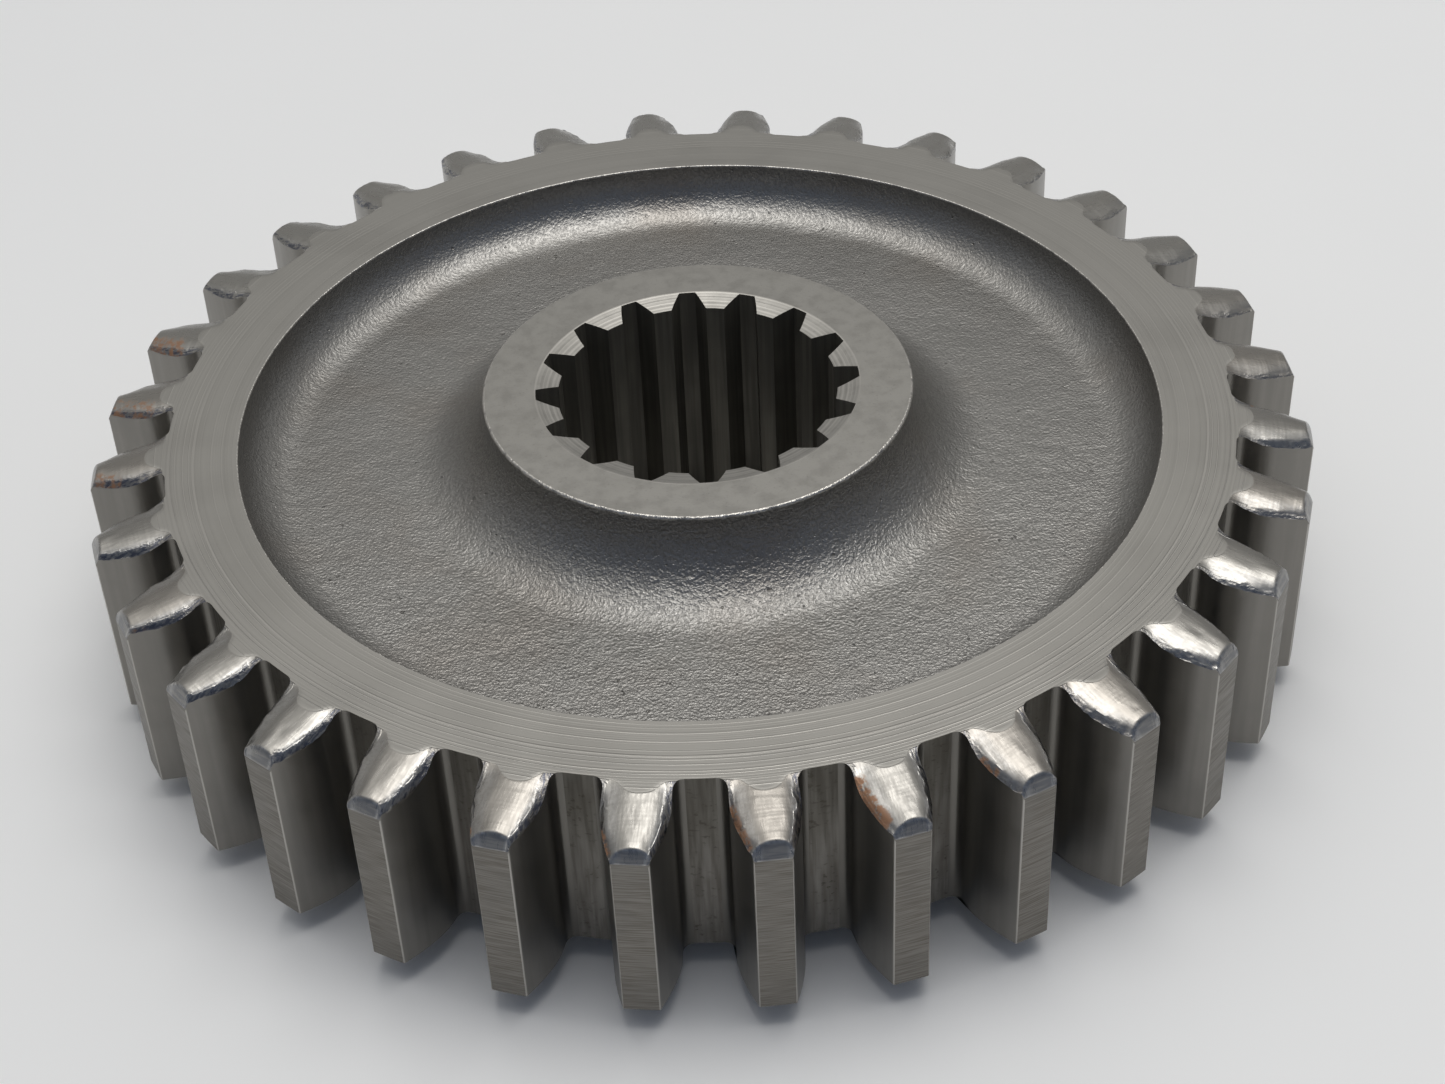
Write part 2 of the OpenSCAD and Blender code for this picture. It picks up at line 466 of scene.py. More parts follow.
def tooth_end(k, r, angle):
    """Heights and painted values over tooth k's upper end, at angles from the tooth's middle line."""
    crest_form, shift, breaks = own_form(k)
    x = r * np.cos(angle)
    y = r * np.sin(angle)
    half = r * np.sin(tooth_half_angle(r))
    from_flank = half - np.abs(y)
    flank_half = np.minimum(half, FOOT_R * np.sin(tooth_half_angle(FOOT_R)))
    off_crest = np.clip(y - shift, -flank_half, flank_half)
    to_flank = np.maximum(0, flank_half - np.abs(y))
    share = np.abs(off_crest) / (np.abs(off_crest) + to_flank + NEAR_ZERO)

    crest, broken = end_section(x, r, off_crest, share, crest_form)
    crest = crest + end_smear(k, x, y) * smooth(*SMEAR_RISE, -crest)
    break_depth, ragged = end_breaks(k, r, y, from_flank, breaks)
    facet = ROOT_RAMP * np.maximum(0, r - STEP_R)
    crest = -roll(-crest, facet, RAMP_ROLL) - break_depth * smooth(*BREAK_DEEPENS, r - STEP_R)
    bevel = (TIP_R - r) * TIP_BEVEL_H / TIP_BEVEL - TIP_BEVEL_H
    top = np.minimum(0, crest)

    outside = r > STEP_R
    ragged = np.maximum(ragged, smooth(*SHADE_RISE, broken)) * by_side(off_crest, BREAK_SHADE)
    rust = end_rust(k, r, y, from_flank)
    # Painted highlight along the lip where the end rolls into the tip bevel
    lip = 1 - smooth(0.0, LIP_WIDTH, np.abs(top - bevel))
    band = end_band_sheen(k, r, off_crest, share, ragged, rust)
    values = {
        "end_depth": np.where(outside, -crest, NOT_AN_END),
        "bevel_depth": top - bevel,
        "across": y,
        "ragged": np.where(outside, ragged, 0),
        "wear": np.where(outside, np.maximum(lip, band), 0),
        "rust": rust,
        "tint": TOOTH_TINT[k],
    }
    return RIM_TOP + np.where(outside, roll(top, bevel, LIP_ROLL), 0), values


def build_tooth_end(shell, k, root, rows, half):
    """Tooth k's upper end outside its root row; returns its grid of points."""
    turns = COLUMNS * half[:, None]
    r = np.broadcast_to(rows[:, None], turns.shape)
    z, values = tooth_end(k, r, turns)
    end = shell.add(polar(r, turns + k * PITCH_TURN, z), **values)
    grid = np.concatenate([root[None, :], end])
    shell.quads(grid, TURNED)
    return grid


def outline_marks(side):
    """Zone of each face and wear of each point along the outline, with side rows on each flank."""
    tip = len(COLUMNS) - 1
    zones = [FLANK] * side + [TIP] * tip + [FLANK] * side + [ROOT] * GAP_STEPS
    wear = np.zeros(len(zones))
    wear[[side - 1, side, side + tip, side + tip + 1]] = 1.0
    return np.tile(zones, TEETH), np.tile(wear, TEETH)


def build_teeth(shell):
    """The rim's upper edge, the tooth ends and the sides; returns the rim ring and the lower outline."""
    rows, root_row = tooth_rows()
    half = tooth_half_angle(rows)
    root_half = half[root_row]
    gap = np.linspace(root_half, PITCH_TURN - root_half, GAP_STEPS + 1)[1:-1]
    ring_turns = np.concatenate([COLUMNS * root_half, gap])
    all_turns = (np.arange(TEETH)[:, None] * PITCH_TURN + ring_turns).ravel()
    rim = shell.add(polar(rows[:root_row + 1, None], all_turns, RIM_TOP), end_depth=NOT_AN_END)
    shell.quads(rim, TURNED, closed=True)
    outer_rows = rows[root_row + 1:]
    outer_half = half[root_row + 1:]
    outline = []
    for k, pitch in enumerate(rim[-1].reshape(TEETH, -1)):
        grid = build_tooth_end(shell, k, pitch[:len(COLUMNS)], outer_rows, outer_half)
        outline += [*grid[:, 0], *grid[-1, 1:-1], *grid[::-1, -1], *pitch[len(COLUMNS):]]
    zones, wear = outline_marks(len(outer_rows))
    return rim[0], build_sides(shell, np.array(outline), zones, wear)


def build_sides(shell, outline, zones, wear):
    """Flanks, tips and roots below the upper outline; returns the lower outline."""
    top = shell.points[outline]
    tint = np.repeat(TOOTH_TINT, len(outline) // TEETH)
    rings = [outline]
    for share in SIDE_LEVELS:
        level = RIM_BOTTOM + (top[:, 2] - RIM_BOTTOM) * share
        points = np.column_stack([top[:, :2], level])
        rings.append(shell.add(points, wear=wear, tint=tint))
    shell.quads(np.array(rings), zones, closed=True)
    return rings[-1]


def arc(centre_r, centre_z, radius, start, end, steps):
    """Points of a profile along an arc, from the start angle to the end angle in degrees."""
    turn = np.radians(np.linspace(start, end, steps + 1))
    return np.column_stack([centre_r + radius * np.cos(turn), centre_z + radius * np.sin(turn)])


def dish_profile(detail):
    """Half section of the upper dish from the rim face to the hub face, as radii and heights."""
    floor = RIM_TOP - DISH_DEPTH
    floor_out = DISH_R - RIM_FILLET
    floor_in = HUB_R + HUB_FLARE
    flat = np.linspace(floor_out, floor_in, round(FLOOR_STEPS * detail) + 1)
    return np.concatenate([
        arc(DISH_R + DISH_BREAK, RIM_TOP - DISH_BREAK, DISH_BREAK, 90, 180, EDGE_STEPS),
        arc(floor_out, floor + RIM_FILLET, RIM_FILLET, 0, -90, round(WALL_STEPS * detail)),
        np.column_stack([flat, np.full_like(flat, floor)])[1:-1],
        arc(floor_in, floor + HUB_FLARE, HUB_FLARE, 270, 180, round(FLARE_STEPS * detail)),
        arc(HUB_R - HUB_BREAK, TOP_Z - HUB_BREAK, HUB_BREAK, 0, 90, EDGE_STEPS),
    ])


def forged_share(count):
    """How much of the forged waviness each row of the dish has: none at its machined edges."""
    share = np.ones(count)
    edge = EDGE_STEPS + 1
    share[:edge] = 0
    share[-edge:] = 0
    share[[edge, -edge - 1]] = EDGE_WAVES
    return share


def build_dish(shell, turns, detail, lower=False):
    """The forged web between rim and hub; returns its rings at the rim and at the hub."""
    profile = dish_profile(detail)
    r = profile[:, :1]
    z = profile[:, 1:]
    slope = np.gradient(profile, axis=0)
    slope /= np.linalg.norm(slope, axis=1, keepdims=True)
    forged = forged_share(len(profile))
    wave = layered_noise(polar(r, turns, z), WEB_WAVES) * forged[:, None]
    points = polar(r + wave * slope[:, 1:], turns, z - wave * slope[:, :1])
    if lower:
        points[..., 2] = TOP_Z - points[..., 2]
    machined = (forged == 0).astype(float)
    grid = shell.add(points, wear=machined[:, None], end_depth=NOT_AN_END)
    shell.quads(grid, WEB, closed=True)
    return grid[0], grid[-1]


def spline_outline():
    """Radii and angles of the bore's outline once round."""
    mouth = GROOVE_FLOOR / 2 + (GROOVE_R - BORE_R) * math.tan(GROOVE_SLOPE)
    mouth_turn = math.asin(mouth / BORE_R)
    floor_turn = math.asin(GROOVE_FLOOR / 2 / GROOVE_R)
    pitch = TURN / SPLINES
    side = np.linspace(0, 1, GROOVE_SIDE_STEPS + 1)
    floor = np.linspace(-floor_turn, floor_turn, GROOVE_FLOOR_STEPS + 1)
    land = np.linspace(mouth_turn, pitch - mouth_turn, LAND_STEPS + 1)[1:-1]
    r = np.concatenate([
        BORE_R + (GROOVE_R - BORE_R) * side[:-1],
        np.full(len(floor), GROOVE_R),
        GROOVE_R + (BORE_R - GROOVE_R) * side[1:],
        np.full(len(land), BORE_R),
    ])
    turn = np.concatenate([
        -mouth_turn + (mouth_turn - floor_turn) * side[:-1],
        floor,
        floor_turn + (mouth_turn - floor_turn) * side[1:],
        land,
    ])
    turns = (np.arange(SPLINES)[:, None] * pitch + SPLINE_TURN + turn).ravel()
    return np.tile(r, SPLINES), turns


def build_bore(shell):
    """The splined bore with its lead-ins; returns the upper and the lower mouth ring."""
    r, turns = spline_outline()
    lead = MOUTH_DEPTH * (MOUTH_R - r) / (MOUTH_R - BORE_R)
    shares = np.linspace(1, 0, BORE_ROWS)[:, None]
    z = lead + (TOP_Z - 2 * lead) * shares
    grid = shell.add(polar(r, turns, z))
    shell.quads(grid, BORE, closed=True)
    mouths = []
    for z_mouth, edge in ((TOP_Z, grid[0]), (0.0, grid[-1])):
        mouth = shell.add(polar(MOUTH_R, round_turns(MOUTH_TURNS), z_mouth), end_depth=NOT_AN_END)
        shell.seam(mouth, edge, HUB)
        shell.creases.append(mouth)
        mouths.append(mouth)
    return mouths


def build_hub_face(shell, edge, turns, z, mouth):
    """A flat hub face between the dish's ring at its edge and the mouth of the bore."""
    flat = shell.add(polar(HUB_R - HUB_BREAK - EDGE_INSET, turns, z), end_depth=NOT_AN_END)
    shell.quads(np.stack([edge, flat]), HUB, closed=True)
    shell.seam(flat, mouth, HUB)


def build_gear():
    """The whole surface of the gear."""
    shell = Shell()
    rim_ring, lower_outline = build_teeth(shell)
    upper_turns = round_turns(UPPER_TURNS)
    lower_turns = round_turns(LOWER_TURNS)
    upper_edge, upper_hub = build_dish(shell, upper_turns, 1.0)
    lower_edge, lower_hub = build_dish(shell, lower_turns, LOWER_DETAIL, lower=True)
    upper_mouth, lower_mouth = build_bore(shell)
    face_r = np.array([DISH_R + DISH_BREAK + EDGE_INSET, *FACE_RINGS])[:, None]
    face = shell.add(polar(face_r, upper_turns, RIM_TOP), end_depth=NOT_AN_END)
    shell.quads(np.concatenate([upper_edge[None, :], face]), TURNED, closed=True)
    shell.seam(face[-1], rim_ring, TURNED)
    shell.seam(lower_edge, lower_outline, TURNED)
    build_hub_face(shell, upper_hub, upper_turns, TOP_Z, upper_mouth)
    build_hub_face(shell, lower_hub, lower_turns, 0.0, lower_mouth)
    return shell


def sharpen(mesh, creases):
    """Keeps the edges along each ring of points sharp."""
    ring_of = np.zeros(len(mesh.vertices), int)
    for number, ring in enumerate(creases, 1):
        ring_of[ring] = number
    ends = np.zeros(2 * len(mesh.edges), int)
    mesh.edges.foreach_get("vertices", ends)
    first, second = ring_of[ends.reshape(-1, 2)].T
    sharp = np.zeros(len(mesh.edges), bool)
    layer = mesh.attributes["sharp_edge"].data
    layer.foreach_get("value", sharp)
    layer.foreach_set("value", sharp | ((first == second) & (first > 0)))


def turn_faces_out(mesh):
    """Makes all faces of a closed mesh look outward."""
    work = bmesh.new()
    work.from_mesh(mesh)
    bmesh.ops.recalc_face_normals(work, faces=work.faces)
    work.to_mesh(mesh)
    work.free()


def make_object(shell, name, finishes):
    """A Blender object in metres from a gathered shell, with its zones' finishes."""
    mesh = bpy.data.meshes.new(name)
    mesh.from_pydata((shell.points * MM).tolist(), [], shell.faces)
    for finish in finishes:
        mesh.materials.append(finish)
    mesh.polygons.foreach_set("material_index", shell.zones)
    for column, label in enumerate(PAINTED):
        layer = mesh.attributes.new(label, "FLOAT", "POINT")
        layer.data.foreach_set("value", shell.painted[:, column].astype(np.float32))
    turn_faces_out(mesh)
    mesh.shade_smooth()
    mesh.set_sharp_from_angle(angle=SHARP_ANGLE)
    sharpen(mesh, shell.creases)
    made = bpy.data.objects.new(name, mesh)
    bpy.context.scene.collection.objects.link(made)
    return made


# Size of the wobbles in lathe rings, and how far apart in the noise the streaks of two teeth may lie
WOBBLE_CELL = 14.0
STREAKS_APART = 40.0


class Nodes:
    """Shader nodes being added to a tree: each call adds a node and returns its output."""

    def __init__(self, tree):
        self.nodes = tree.nodes
        self.links = tree.links

    def put(self, socket, value):
        """Sets an input to a constant, or links it to an output."""
        if isinstance(value, bpy.types.NodeSocket):
            self.links.new(value, socket)
        else:
            socket.default_value = value

    def node(self, kind, inputs, output=0, **settings):
        """Any kind of shader node, with its inputs by name or number."""
        made = self.nodes.new("ShaderNode" + kind)
        for name, value in settings.items():
            setattr(made, name, value)
        for key, value in inputs.items():
            self.put(made.inputs[key], value)
        return made.outputs[output]

    def calc(self, operation, a, b):
        return self.node("Math", {0: a, 1: b}, operation=operation)

    def plus(self, a, b):
        return self.calc("ADD", a, b)

    def times(self, a, b):
        return self.calc("MULTIPLY", a, b)

    def ramp(self, value, low, high, start=0.0, end=1.0):
        """A smooth step of a value between two limits."""
        inputs = {"Value": value, "From Min": low, "From Max": high, "To Min": start, "To Max": end}
        return self.node("MapRange", inputs, interpolation_type="SMOOTHSTEP")

    def mix(self, share, a, b):
        """A mix of two colours, given as three numbers or as outputs."""
        a, b = (value if isinstance(value, bpy.types.NodeSocket) else (*value, 1) for value in (a, b))
        return self.node("Mix", {0: share, 6: a, 7: b}, 2, data_type="RGBA")

    def between(self, share, a, b):
        """A mix of two numbers."""
        return self.node("Mix", {0: share, 2: a, 3: b}, 0, data_type="FLOAT")


class Finish(Nodes):
    """A material being made, with its point in millimetres and that point's radius, depth and height."""

    def __init__(self, name):
        self.material = bpy.data.materials.new(name)
        self.material.use_nodes = True
        super().__init__(self.material.node_tree)
        self.shader = self.nodes["Principled BSDF"]
        place = self.node("TexCoord", {}, "Object")
        self.point = self.node("VectorMath", {0: place, "Scale": 1 / MM}, operation="SCALE")
        flat = self.node("VectorMath", {0: self.point, 1: (1, 1, 0)}, operation="MULTIPLY")
        self.radius = self.node("VectorMath", {0: flat}, "Value", operation="LENGTH")
        self.depth = self.node("SeparateXYZ", {0: self.point}, "Y")
        self.height = self.node("SeparateXYZ", {0: self.point}, "Z")

    def set(self, **inputs):
        """Sets inputs of the shader; their names have underscores for spaces."""
        for name, value in inputs.items():
            self.put(self.shader.inputs[name.replace("_", " ")], value)

    def painted(self, name):
        """A value painted on the points."""
        return self.node("Attribute", {}, "Fac", attribute_name=name)

    def noise(self, cell, stretch=(1, 1, 1), detail=2.0, rough=0.5):
        """Noise with features about one cell across, in millimetres, longer along each stretched axis."""
        scale = tuple(1 / (cell * s) for s in stretch)
        spot = self.node("VectorMath", {0: self.point, 1: scale}, operation="MULTIPLY")
        return self.node("TexNoise", {"Vector": spot, "Scale": 1.0, "Detail": detail, "Roughness": rough})

    def rings(self, cell, detail=2.0, wobble=0.0):
        """Noise that changes only with the radius, as lathe tools leave it."""
        r = self.radius
        if wobble:
            r = self.plus(r, self.times(self.noise(WOBBLE_CELL), wobble))
        inputs = {"W": self.calc("DIVIDE", r, cell), "Scale": 1.0, "Detail": detail}
        return self.node("TexNoise", inputs, noise_dimensions="1D")

    def tooth_streaks(self, width, length):
        """Noise drawn out along each tooth, with its own pattern on every tooth."""
        across = self.calc("DIVIDE", self.painted("across"), width)
        along = self.calc("DIVIDE", self.radius, length)
        own = self.times(self.painted("tint"), STREAKS_APART)
        spot = self.node("CombineXYZ", {0: across, 1: along, 2: own})
        return self.node("TexNoise", {"Vector": spot, "Scale": 1.0, "Detail": 2.0})

    def bump(self, height, depth):
        """A normal from a height of 0 to 1 that stands for a depth in millimetres."""
        return self.node("Bump", {"Height": height, "Distance": depth * MM, "Strength": 1.0})


STEEL_DARK = (0.20, 0.193, 0.178)
STEEL_MID = (0.345, 0.335, 0.312)
STEEL_PALE = (0.395, 0.383, 0.358)
STEEL_BRIGHT = (0.55, 0.53, 0.495)
BROWN_STEEL = (0.165, 0.152, 0.133)
END_PALE = (0.275, 0.266, 0.249)
END_BRIGHT = (0.343, 0.332, 0.311)
END_WARM = (0.308, 0.286, 0.259)
# Painted highlight on the bright bands and lips of the tooth ends, partly metal rubbed bright
END_RUBBED_AND_SHEEN = (0.54, 0.532, 0.52)
# Painted shade and reflection in the steep breaks of the tooth ends
BREAK_SHADE_BLUE = (0.09, 0.097, 0.13)
BEVEL_DARK = (0.235, 0.235, 0.24)
FLANK_DARK = (0.235, 0.224, 0.205)
FLANK_PALE = (0.265, 0.253, 0.232)
WEB_DARK = (0.255, 0.249, 0.238)
WEB_PALE = (0.325, 0.317, 0.303)
WEB_BROWN = (0.25, 0.228, 0.205)
# Old oil in the bore and pits; also painted shade at flank roots and the darker tops of root lands
OIL_AND_SHADE_BLACK = (0.075, 0.069, 0.055)
OIL_BROWN = (0.14, 0.129, 0.103)
RUST = (0.32, 0.175, 0.10)
FLOOR_GREY = (0.90, 0.90, 0.895)
FLOOR_PALE = (0.92, 0.92, 0.915)


def scored_rings(paint, patch):
    """Where a tool scored the rim face: most at its outer edge and at the front."""
    scores = paint.ramp(paint.rings(0.62, detail=2.0, wobble=0.3), 0.54, 0.68)
    outer = paint.ramp(paint.radius, 84.0, 94.0, 0.25, 1.0)
    uneven = paint.times(outer, paint.ramp(patch, 0.3, 0.62, 0.4, 1.0))
    # The scored rings grow stronger towards the front
    frontward_share = paint.ramp(paint.depth, 50.0, -60.0, 0.25, 1.0)
    return paint.times(scores, paint.times(uneven, frontward_share))


def rust_blots(paint):
    """The painted rust, broken up into blots."""
    blots = paint.noise(1.3, detail=4.0, rough=0.65)
    rust = paint.times(paint.painted("rust"), paint.ramp(blots, 0.35, 0.65, 0.2, 1.3))
    return paint.ramp(rust, 0.12, 0.7, 0.0, 0.95)


def face_colour(paint, patch, scored):
    """Colour of a turned rim face."""
    wide = paint.rings(1.6, detail=3.0, wobble=0.3)
    colour = paint.mix(paint.ramp(wide, 0.3, 0.7, 0.3, 0.7), STEEL_MID, STEEL_PALE)
    colour = paint.mix(paint.ramp(patch, 0.4, 0.75, 0.0, 0.2), colour, STEEL_DARK)
    return paint.mix(paint.times(scored, 0.55), colour, STEEL_BRIGHT)


def end_colour(paint, streak, rust):
    """Colour of a smeared tooth end, with the painted blue shade of its breaks, its tip bevel and rust.
    """
    colour = paint.mix(paint.ramp(streak, 0.3, 0.7), END_PALE, END_BRIGHT)
    colour = paint.mix(paint.ramp(paint.painted("tint"), 0.3, 1.0, 0.1, 0.8), colour, END_WARM)
    colour = paint.mix(paint.ramp(paint.depth, -20.0, 60.0, 0.0, 0.8), colour, STEEL_MID)
    # Painted shade and reflection: the steep breaks turn dark blue, with pale flecks left between
    nicks = paint.tooth_streaks(0.3, 1.3)
    shade_gaps = paint.ramp(nicks, 0.42, 0.58, 1.0, 0.0)
    breaks = paint.times(paint.ramp(paint.painted("ragged"), 0.05, 0.5, 0.0, 0.8), shade_gaps)
    colour = paint.mix(breaks, colour, BREAK_SHADE_BLUE)
    lines = paint.tooth_streaks(4.0, 0.22)
    bevel = paint.mix(paint.ramp(lines, 0.4, 0.65, 0.0, 0.7), BEVEL_DARK, STEEL_MID)
    colour = paint.mix(paint.ramp(paint.painted("bevel_depth"), 0.0, 0.12), colour, bevel)
    return paint.mix(rust, colour, RUST)


def end_relief(paint, streak, grain):
    """Height of the marks on a tooth end: streaks along it, chatter and the crinkles of its breaks."""
    chatter = paint.rings(1.1, detail=1.0, wobble=3.0)
    height = paint.plus(paint.times(streak, 0.7), chatter)
    crinkled = paint.ramp(paint.painted("ragged"), 0.0, 0.25, 0.5, 5.0)
    return paint.plus(height, paint.times(grain, crinkled))


def turned_face():
    """Turned rim faces with scored rings, and the smeared tooth ends that break into them."""
    paint = Finish("turned_face")
    fine = paint.rings(0.36, detail=1.0)
    patch = paint.noise(18.0, detail=3.0)
    grain = paint.noise(0.6, detail=3.0, rough=0.6)
    streak = paint.tooth_streaks(0.45, 2.4)
    scored = scored_rings(paint, patch)
    rust = rust_blots(paint)
    on_end = paint.ramp(paint.painted("end_depth"), 0.0, 0.06)
    colour = paint.mix(on_end, face_colour(paint, patch, scored), end_colour(paint, streak, rust))
    # Painted highlight: bright bands and lips along the tooth ends, partly metal rubbed bright
    edge = paint.times(paint.painted("wear"), paint.ramp(grain, 0.35, 0.6, 0.4, 1.0))
    paint.set(Base_Color=paint.mix(edge, colour, END_RUBBED_AND_SHEEN), Metallic=paint.between(rust, 1.0, 0.6))
    end_rough = paint.between(rust, paint.ramp(streak, 0.3, 0.7, 0.36, 0.26), 0.6)
    paint.set(Roughness=paint.between(on_end, paint.between(fine, 0.34, 0.46), end_rough))
    face_relief = paint.plus(paint.times(fine, 0.4), paint.times(scored, 2.3))
    relief = paint.between(on_end, face_relief, end_relief(paint, streak, grain))
    paint.set(Normal=paint.bump(relief, 0.03))
    return paint.material


def forged_web():
    """Forged skin with a fine orange-peel grain, bright along its two machined edges."""
    paint = Finish("forged_web")
    grain = paint.noise(0.53, detail=2.0, rough=0.6)
    coarse = paint.noise(2.0, detail=1.0)
    patch = paint.noise(24.0, detail=3.0)
    pits = paint.ramp(paint.noise(1.2, detail=1.0), 0.74, 0.82)
    colour = paint.mix(paint.ramp(grain, 0.35, 0.65), WEB_DARK, WEB_PALE)
    colour = paint.mix(paint.ramp(patch, 0.45, 0.75, 0.0, 0.5), colour, WEB_BROWN)
    colour = paint.mix(paint.times(pits, 0.4), colour, OIL_AND_SHADE_BLACK)
    edge = paint.times(paint.painted("wear"), paint.ramp(coarse, 0.3, 0.6, 0.35, 1.0))
    edge = paint.ramp(edge, 0.2, 0.75)
    paint.set(Base_Color=paint.mix(edge, colour, STEEL_BRIGHT), Metallic=1.0)
    paint.set(Roughness=paint.between(edge, paint.ramp(grain, 0.35, 0.65, 0.42, 0.30), 0.3))
    relief = paint.plus(grain, paint.times(coarse, 0.6))
    relief = paint.calc("SUBTRACT", relief, paint.times(pits, 0.8))
    relief = paint.times(relief, paint.ramp(paint.depth, 20.0, -60.0, 0.55, 1.0))
    paint.set(Normal=paint.bump(relief, 0.26))
    return paint.material


def hub_face():
    """Smooth ground hub faces with faint smudges, and fine rings in the lead-in of the bore."""
    paint = Finish("hub_face")
    fine = paint.rings(0.5, detail=1.0)
    patch = paint.noise(9.0, detail=4.0)
    smudge = paint.noise(3.5, detail=4.0, rough=0.6)
    speck = paint.noise(0.5, detail=1.0)
    mouth = paint.ramp(paint.radius, MOUTH_R + 0.15, MOUTH_R - 0.15)
    colour = paint.mix(paint.ramp(patch, 0.3, 0.7), STEEL_MID, STEEL_PALE)
    colour = paint.mix(paint.ramp(smudge, 0.4, 0.7, 0.0, 0.35), colour, STEEL_DARK)
    colour = paint.mix(paint.ramp(speck, 0.6, 0.75, 0.0, 0.25), colour, STEEL_DARK)
    bright_rings = paint.times(mouth, paint.ramp(fine, 0.4, 0.65, 0.0, 0.5))
    colour = paint.mix(bright_rings, colour, STEEL_BRIGHT)
    paint.set(Base_Color=colour, Metallic=1.0, Roughness=paint.ramp(patch, 0.3, 0.7, 0.46, 0.38))
    relief = paint.times(fine, paint.between(mouth, 0.2, 1.6))
    paint.set(Normal=paint.bump(relief, 0.03))
    return paint.material


def tooth_tip():
    """Tip lands with fine tool lines round the gear and thin worn corners."""
    paint = Finish("tooth_tip")
    lines = paint.noise(0.15, (40, 40, 1), detail=2.0)
    patch = paint.noise(7.0, detail=3.0)
    colour = paint.mix(paint.ramp(lines, 0.35, 0.65, 0.0, 0.42), BROWN_STEEL, STEEL_MID)
    colour = paint.mix(paint.ramp(patch, 0.4, 0.7, 0.0, 0.4), colour, STEEL_DARK)
    edge = paint.times(paint.painted("wear"), paint.ramp(patch, 0.3, 0.6, 0.4, 1.0))
    colour = paint.mix(paint.ramp(edge, 0.6, 0.95, 0.0, 0.6), colour, STEEL_BRIGHT)
    paint.set(Base_Color=colour, Metallic=1.0, Roughness=paint.ramp(lines, 0.3, 0.7, 0.5, 0.4))
    paint.set(Normal=paint.bump(lines, 0.014))
    return paint.material


def tooth_flank():
    """Smooth working flanks under a thin brown film, painted shade near the root, tip corners worn
    bright.
    """
    paint = Finish("tooth_flank")
    streak = paint.noise(1.6, (1, 1, 20), detail=2.0)
    patch = paint.noise(8.0, detail=3.0)
    colour = paint.mix(paint.ramp(streak, 0.3, 0.7), FLANK_DARK, FLANK_PALE)
    colour = paint.mix(paint.ramp(patch, 0.4, 0.75, 0.0, 0.5), colour, STEEL_DARK)
    # Painted shade: the flanks darken towards the root, between the teeth
    root_shade = paint.ramp(paint.radius, ROOT_R + 0.2, ROOT_R + 3.0, 0.4, 0.0)
    colour = paint.mix(root_shade, colour, OIL_AND_SHADE_BLACK)
    edge = paint.ramp(paint.painted("wear"), 0.7, 0.98, 0.0, 0.6)
    colour = paint.mix(edge, colour, STEEL_BRIGHT)
    paint.set(Base_Color=colour, Metallic=0.9, Roughness=paint.ramp(patch, 0.3, 0.7, 0.36, 0.28))
    paint.set(Normal=paint.bump(streak, 0.004))
    return paint.material


def tooth_root():
    """Root lands with faint streaks along the axis and dark specks, darker towards the top."""
    paint = Finish("tooth_root")
    streak = paint.noise(0.8, (1, 1, 14), detail=2.0)
    patch = paint.noise(6.0, detail=3.0)
    specks = paint.ramp(paint.noise(0.7, (1.5, 1.5, 1), detail=2.0), 0.58, 0.68)
    specks = paint.times(specks, paint.ramp(patch, 0.35, 0.6, 0.0, 0.6))
    colour = paint.mix(paint.ramp(streak, 0.3, 0.7, 0.1, 0.55), BROWN_STEEL, STEEL_MID)
    colour = paint.mix(paint.ramp(patch, 0.35, 0.7, 0.0, 0.6), colour, BROWN_STEEL)
    colour = paint.mix(specks, colour, OIL_AND_SHADE_BLACK)
    # Darker towards the top of the root lands
    colour = paint.mix(paint.ramp(paint.height, 12.0, RIM_TOP, 0.0, 0.6), colour, OIL_AND_SHADE_BLACK)
    paint.set(Base_Color=colour, Metallic=1.0, Roughness=paint.ramp(streak, 0.3, 0.7, 0.5, 0.4))
    paint.set(Normal=paint.bump(streak, 0.012))
    return paint.material


def spline_bore():
    """Broached grooves darkened by old oil, with faint streaks along the axis."""
    paint = Finish("spline_bore")
    streak = paint.noise(0.9, (1, 1, 30), detail=2.0)
    patch = paint.noise(9.0, detail=2.0)
    colour = paint.mix(paint.ramp(streak, 0.35, 0.7, 0.2, 0.9), OIL_AND_SHADE_BLACK, OIL_BROWN)
    colour = paint.mix(paint.ramp(patch, 0.35, 0.7, 0.0, 0.5), colour, OIL_AND_SHADE_BLACK)
    paint.set(Base_Color=colour, Metallic=0.4, Roughness=paint.ramp(streak, 0.3, 0.7, 0.55, 0.45))
    paint.set(Normal=paint.bump(streak, 0.015))
    return paint.material


def make_finishes():
    """The finish of each zone, in the order of the zones."""
    makers = {
        TURNED: turned_face,
        WEB: forged_web,
        HUB: hub_face,
        TIP: tooth_tip,
        FLANK: tooth_flank,
        ROOT: tooth_root,
        BORE: spline_bore,
    }
    return [makers[zone]() for zone in sorted(makers)]


FLOOR_WIDTH_M = 40.0


def add_floor():
    """A wide, plain and pale floor under the gear."""
    paint = Finish("pale_floor")
    cloud = paint.noise(60.0, detail=3.0)
    paint.set(Base_Color=paint.mix(cloud, FLOOR_GREY, FLOOR_PALE), Roughness=0.55)
    bpy.ops.mesh.primitive_plane_add(size=FLOOR_WIDTH_M)
    floor = bpy.context.object
    floor.name = "floor"
    floor.data.materials.append(paint.material)


# Camera, worked out from the tooth and hub circles in the photograph, with its place in millimetres
CAMERA_AT = (-25.1, -362.5, 307.8)
CAMERA_YAW = math.radians(4.45)
CAMERA_ELEVATION = math.radians(39.406)
CAMERA_ROLL = math.radians(-2.723)
CAMERA_LENS = 62.96
CAMERA_SENSOR = 36.0
CAMERA_NEAR_M = 0.01


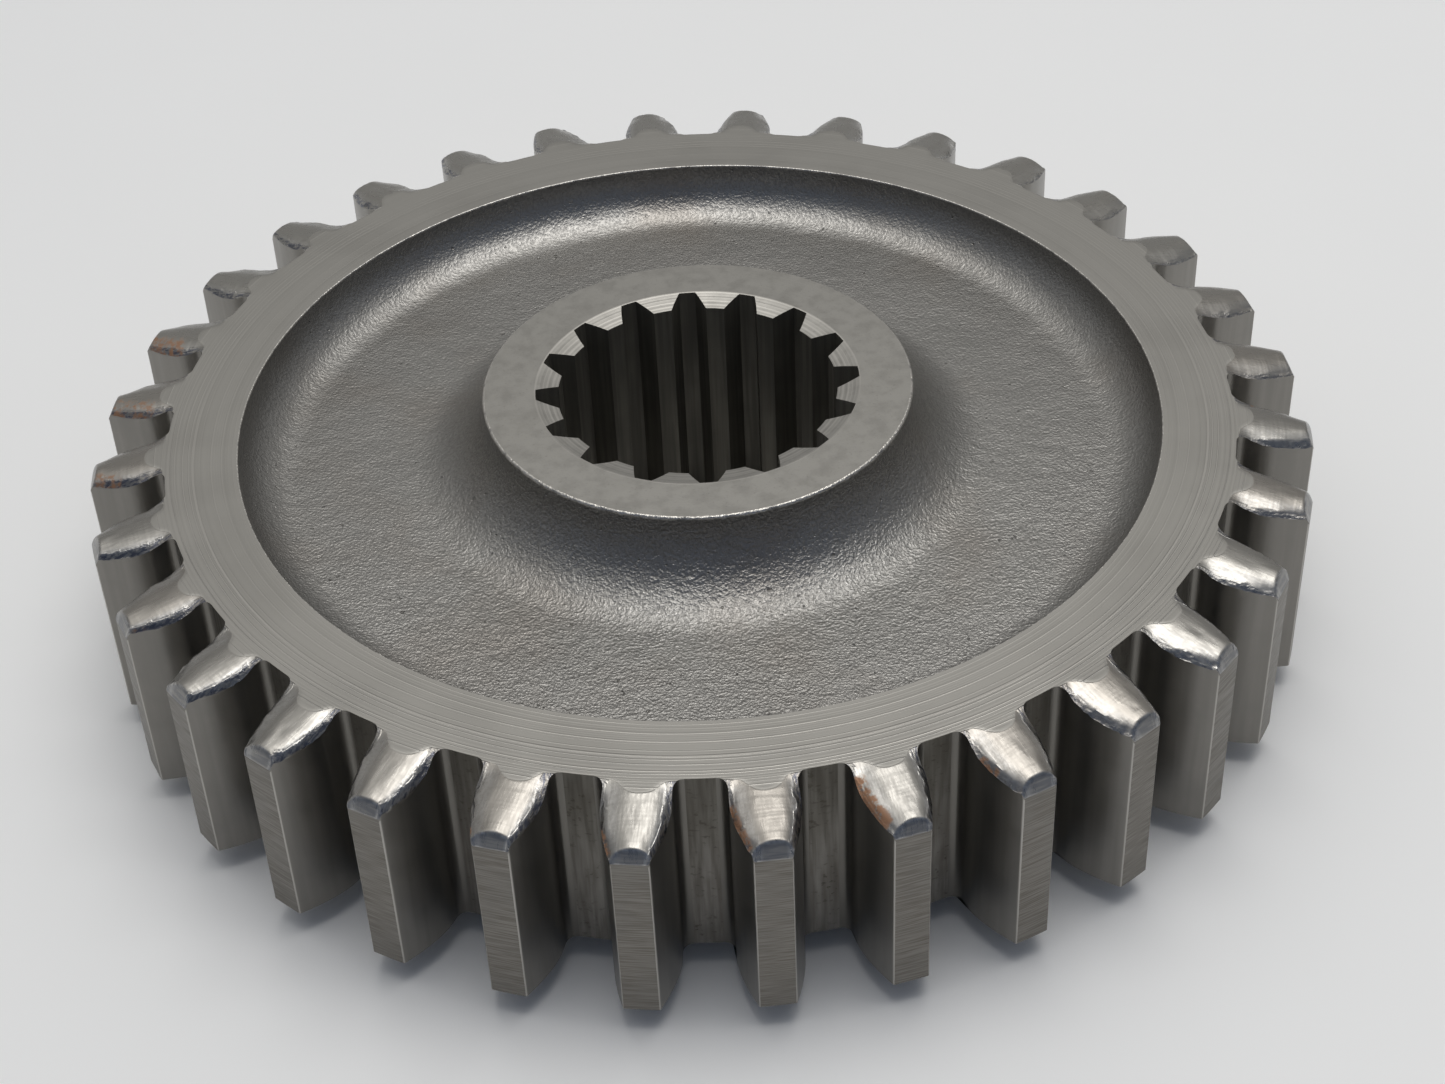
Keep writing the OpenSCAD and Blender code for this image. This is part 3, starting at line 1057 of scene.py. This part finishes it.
def camera_turn():
    """The camera's axes as a matrix."""
    level = math.cos(CAMERA_ELEVATION)
    aside = math.sin(CAMERA_YAW)
    ahead = math.cos(CAMERA_YAW)
    forward = Vector((aside * level, ahead * level, -math.sin(CAMERA_ELEVATION)))
    right = Vector((ahead, -aside, 0))
    up = right.cross(forward)
    rolled_right = right * math.cos(CAMERA_ROLL) + up * math.sin(CAMERA_ROLL)
    rolled_up = up * math.cos(CAMERA_ROLL) - right * math.sin(CAMERA_ROLL)
    return Matrix((rolled_right, rolled_up, -forward)).transposed().to_4x4()


def add_camera():
    """The camera at the photograph's viewing angle."""
    data = bpy.data.cameras.new("camera")
    data.sensor_fit = "HORIZONTAL"
    data.sensor_width = CAMERA_SENSOR
    data.lens = CAMERA_LENS
    data.clip_start = CAMERA_NEAR_M
    camera = bpy.data.objects.new("camera", data)
    camera.matrix_world = Matrix.Translation(Vector(CAMERA_AT) * MM) @ camera_turn()
    bpy.context.scene.collection.objects.link(camera)
    bpy.context.scene.camera = camera


# A square soft box that faces straight down, in metres and watts
LAMP_AT = (0.2, 0.1, 1.25)
LAMP_WIDTH = 0.8
LAMP_POWER = 5.0
LAMP_COLOUR = (1.0, 0.985, 0.96)

# Light of the plain room: before the gear, behind it and overhead
ROOM_FRONT = (0.12, 0.146, 0.2)
ROOM_BACK = (0.39, 0.388, 0.382)
ROOM_CEILING = (1.30, 1.29, 1.26)


def add_lamp():
    """A soft box overhead and a little behind."""
    data = bpy.data.lights.new("overhead", "AREA")
    data.shape = "SQUARE"
    data.size = LAMP_WIDTH
    data.energy = LAMP_POWER
    data.color = LAMP_COLOUR
    lamp = bpy.data.objects.new("overhead", data)
    lamp.location = LAMP_AT
    bpy.context.scene.collection.objects.link(lamp)


def add_room():
    """A plain room that is paler behind the gear than before it, with a bright ceiling behind."""
    world = bpy.data.worlds.new("room")
    world.use_nodes = True
    paint = Nodes(world.node_tree)
    direction = paint.node("TexCoord", {}, "Generated")
    depth = paint.node("SeparateXYZ", {0: direction}, "Y")
    height = paint.node("SeparateXYZ", {0: direction}, "Z")
    rearward = paint.node("MapRange", {"Value": depth, "From Min": -0.6, "From Max": 0.6})
    walls = paint.mix(rearward, ROOM_FRONT, ROOM_BACK)
    ceiling = paint.times(paint.ramp(height, 0.55, 1.0), paint.ramp(depth, -0.55, 0.15))
    room = paint.mix(ceiling, walls, ROOM_CEILING)
    paint.put(paint.nodes["Background"].inputs["Color"], room)
    bpy.context.scene.world = world


gear = make_object(build_gear(), "gear_body", make_finishes())
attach(gear, "root")
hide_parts("sliding_gear")
add_floor()
add_camera()
add_lamp()
add_room()
bpy.context.scene.view_settings.view_transform = "Standard"
